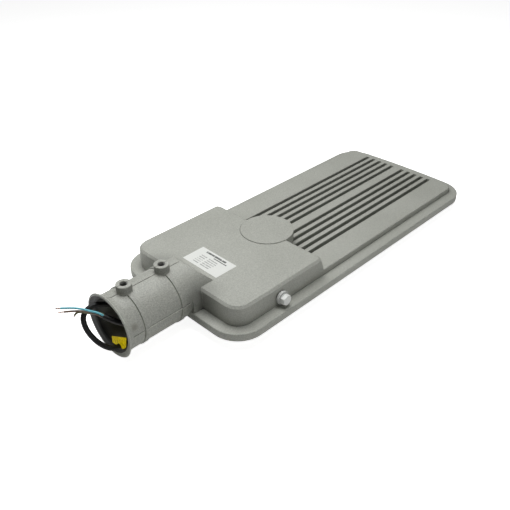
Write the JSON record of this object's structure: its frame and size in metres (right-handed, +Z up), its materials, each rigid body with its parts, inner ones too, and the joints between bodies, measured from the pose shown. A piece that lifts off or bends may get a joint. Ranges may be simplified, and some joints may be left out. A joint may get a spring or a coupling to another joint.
{
  "type": "led street light head",
  "caption": "Cast aluminium LED street light head: a long finned flange, raised driver box, spigot socket with clamp-screw bosses, glass light window below and a looped mains lead.",
  "frame": {"origin": "centre of the spigot socket's mouth, on the pole's axis", "axes": "+X along the pole axis from the mouth to the tip of the head, +Z up out of the finned back, light window facing -Z, +Y completes the right-handed frame"},
  "size_m": [0.6348, 0.226, 0.0858],
  "materials": {
    "cast_paint": "sand-textured matt silver-grey paint on cast aluminium",
    "sheet_paint": "matt silver-grey paint on sheet metal",
    "steel": "stainless steel",
    "rubber_black": "black rubber",
    "silicone": "grey silicone rubber",
    "toughened_glass": "clear toughened glass",
    "board_white": "white-coated light board",
    "phosphor": "yellow light chips",
    "driver_metal": "plain aluminium case",
    "block_plastic": "moulded nylon",
    "label_white": "bare pale foil label",
    "vent_metal": "satin silver",
    "gland_nylon": "black nylon",
    "core_blue": "light blue insulation",
    "core_brown": "brown insulation",
    "core_earth": "dull yellow-green insulation",
    "copper": "bare copper strands",
    "tag_yellow": "bare yellow tag"
  },
  "bodies": {
    "root": {"housing": "cast_paint", "cover_seal": "silicone", "driver_cover": "cast_paint", "cover_screws": "steel", "glass_pane": "toughened_glass", "pane_gasket": "silicone", "window_frame": "sheet_paint", "frame_screws": "steel", "led_board": "board_white", "led_chips": "phosphor", "board_screws": "steel", "driver_case": "driver_metal", "driver_screws": "steel", "terminal_block": "block_plastic", "terminal_screws": "steel", "block_screws": "steel", "earth_screw": "steel", "earth_lug": "copper", "rating_label": "label_white", "vent_body": "vent_metal", "vent_seal": "rubber_black", "vent_cap": "vent_metal", "gland_body": "gland_nylon", "gland_nut": "gland_nylon", "gland_insert": "rubber_black", "gland_locknut": "gland_nylon", "mains_cable": "rubber_black", "core_blue": "core_blue", "core_brown": "core_brown", "core_earth": "core_earth", "core_tips": "copper", "cable_tag": "tag_yellow", "inner_brown": "core_brown", "inner_earth": "core_earth", "inner_blue": "core_blue", "driver_brown": "core_brown", "driver_blue": "core_blue", "earth_lead": "core_earth", "board_lead_a": "core_brown", "board_lead_b": "core_blue"}
  },
  "joints": []
}
